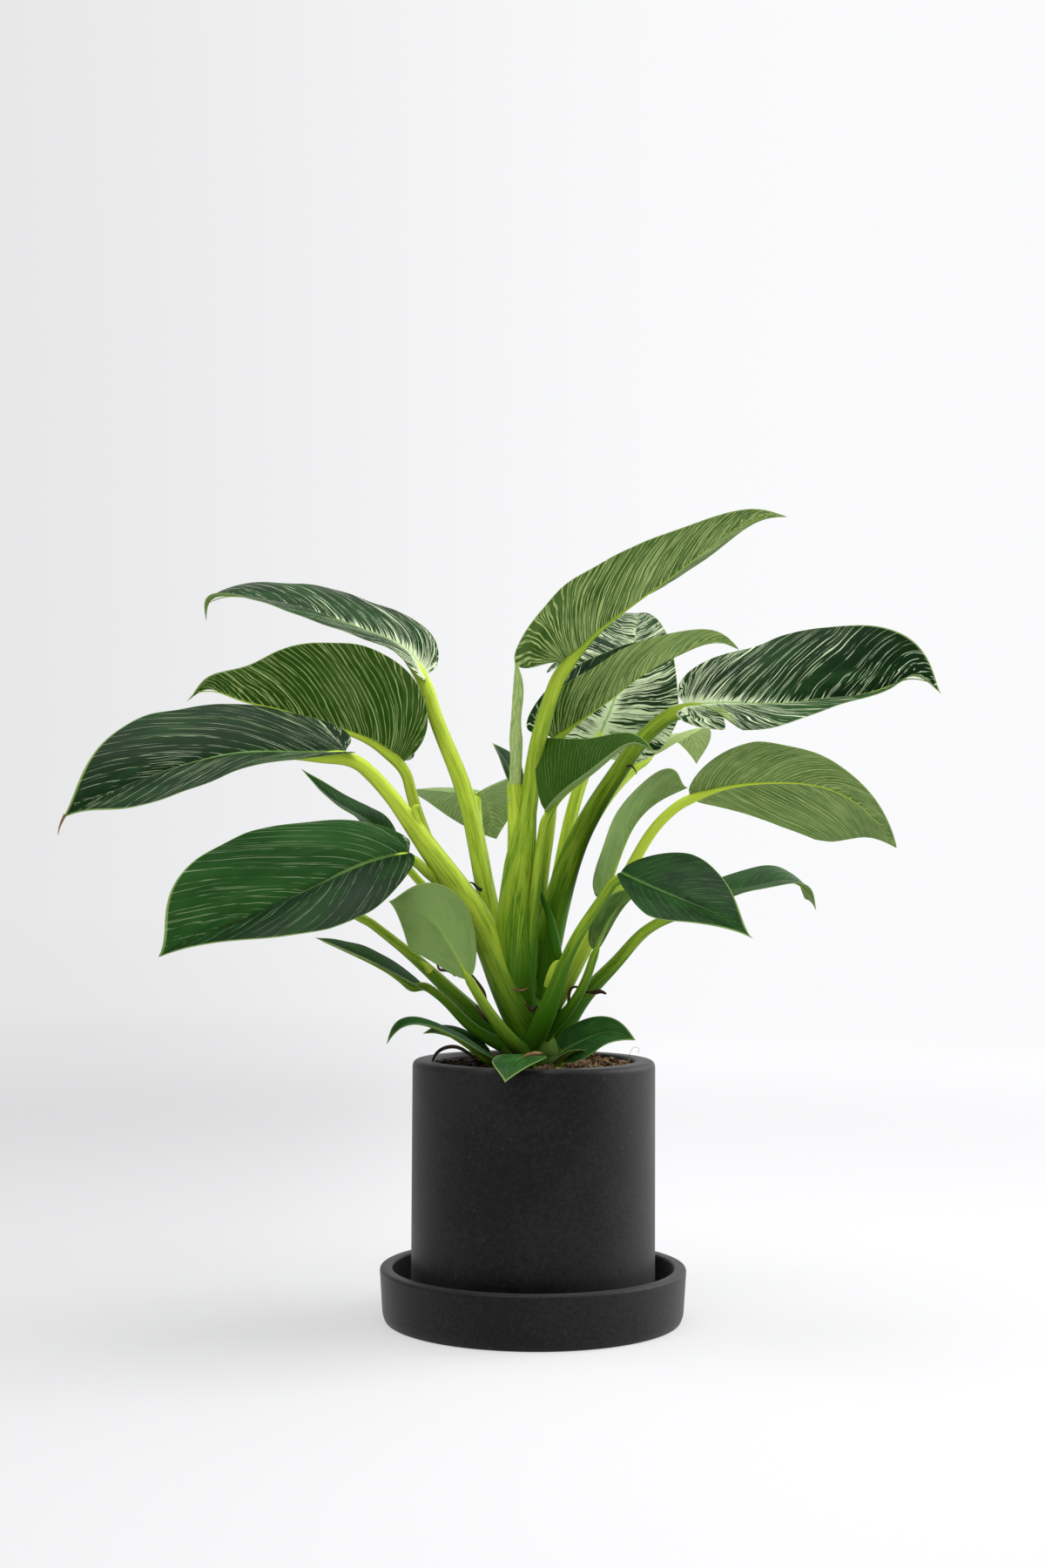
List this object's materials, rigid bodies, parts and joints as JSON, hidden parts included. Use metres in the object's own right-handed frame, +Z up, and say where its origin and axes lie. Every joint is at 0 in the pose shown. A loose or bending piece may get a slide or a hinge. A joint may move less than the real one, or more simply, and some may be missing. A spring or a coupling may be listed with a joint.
{
  "type": "potted philodendron",
  "caption": "Striped-leaf philodendron clump with arching petioles and long broad leaves, in a cylindrical planter that stands in a round saucer.",
  "frame": {"origin": "centre of the saucer's underside, on the surface that the part stands on", "axes": "+Z up, +X to the right along the leaf spread as seen from the front, +Y towards the back"},
  "size_m": [0.497, 0.2736, 0.4664],
  "materials": {
    "saucer_ceramic": "matte",
    "pot_ceramic": "matte",
    "potting_mix": "matte",
    "stalk_green": "satin",
    "leaf_dark": "satin",
    "leaf_mid": "satin",
    "leaf_pale": "satin"
  },
  "bodies": {
    "root": {"saucer": "saucer_ceramic", "pot": "pot_ceramic", "soil": "potting_mix", "crown": "stalk_green", "new_leaf_spear": "leaf_pale", "leaf_upper_left": "leaf_dark", "leaf_left_raised": "leaf_mid", "leaf_left_long": "leaf_dark", "leaf_left_broad": "leaf_dark", "leaf_front_left": "leaf_pale", "leaf_back_left_narrow": "leaf_dark", "leaf_low_left_edge": "leaf_dark", "leaf_low_left_behind": "leaf_dark", "leaf_far_back": "leaf_pale", "leaf_back_tip": "leaf_dark", "leaf_top": "leaf_mid", "leaf_back_round": "leaf_mid", "leaf_centre_right": "leaf_dark", "leaf_inner_folded": "leaf_dark", "leaf_right_large": "leaf_dark", "leaf_right_pale": "leaf_pale", "leaf_right_edge_on": "leaf_pale", "leaf_front_right": "leaf_dark", "leaf_low_right": "leaf_dark", "leaf_low_right_small": "leaf_mid", "leaf_far_right": "leaf_pale", "shoot_left_front": "leaf_dark", "shoot_left_back": "leaf_dark", "shoot_right": "leaf_dark", "shoot_over_rim": "leaf_dark"}
  },
  "joints": []
}
